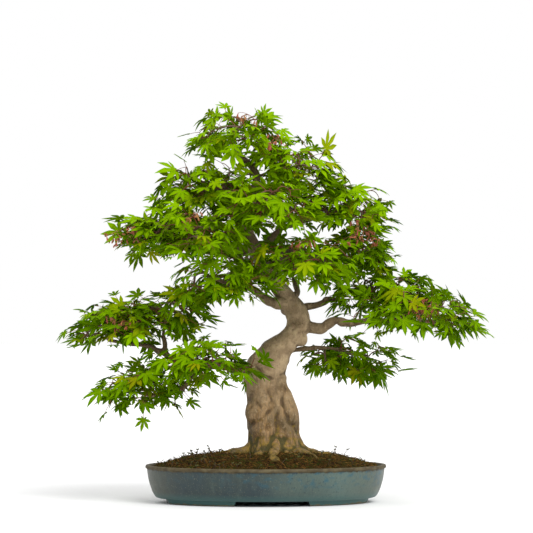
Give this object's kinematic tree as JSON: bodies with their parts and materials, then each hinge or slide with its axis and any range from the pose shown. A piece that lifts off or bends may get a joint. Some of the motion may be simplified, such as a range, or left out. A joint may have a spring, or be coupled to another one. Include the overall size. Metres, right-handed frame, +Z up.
{
  "type": "potted bonsai tree",
  "caption": "Maple bonsai with a thick curved trunk, spreading surface roots and layered leaf canopies, planted in a shallow oval glazed pot on low feet.",
  "frame": {"origin": "middle of the whole plant's footprint, on the surface that the pot's feet stand on", "axes": "+X along the pot's long side towards the longest branch, +Z up, and the tree's best side faces -Y"},
  "size_m": [0.7062, 0.3896, 0.658],
  "materials": {
    "pot_glaze": "worn blue-grey glaze, mottled",
    "screen": "black mesh",
    "wire": "dull brown anodised wire",
    "grit": "loose pumice gravel",
    "soil": "damp granular soil",
    "moss": "moss and brown fibrous litter",
    "bark": "smooth grey-brown bark with fine lines",
    "leaf": "thin green leaves, slightly glossy"
  },
  "bodies": {
    "root": {"pot": "pot_glaze", "drain_screen_left": "screen", "drain_screen_right": "screen", "screen_clip_left": "wire", "screen_clip_right": "wire", "tie_wire": "wire", "drainage_grit": "grit", "soil": "soil", "moss": "moss", "trunk_and_branches": "bark", "leaves_apex": "leaf", "leaves_crown_right": "leaf", "leaves_crown_left": "leaf", "leaves_crown_front": "leaf", "leaves_upper_right": "leaf", "leaves_upper_left": "leaf", "leaves_front_left": "leaf", "leaves_front_low": "leaf", "leaves_lower_right": "leaf", "leaves_middle_left": "leaf", "leaves_right_upper": "leaf", "leaves_right_main": "leaf", "leaves_right_low": "leaf", "leaves_left_rise": "leaf", "leaves_left_low": "leaf", "leaves_left_front": "leaf", "leaves_left_drop": "leaf", "leaves_back_low": "leaf", "leaves_back_upper": "leaf", "leaves_back_left": "leaf"}
  },
  "joints": []
}
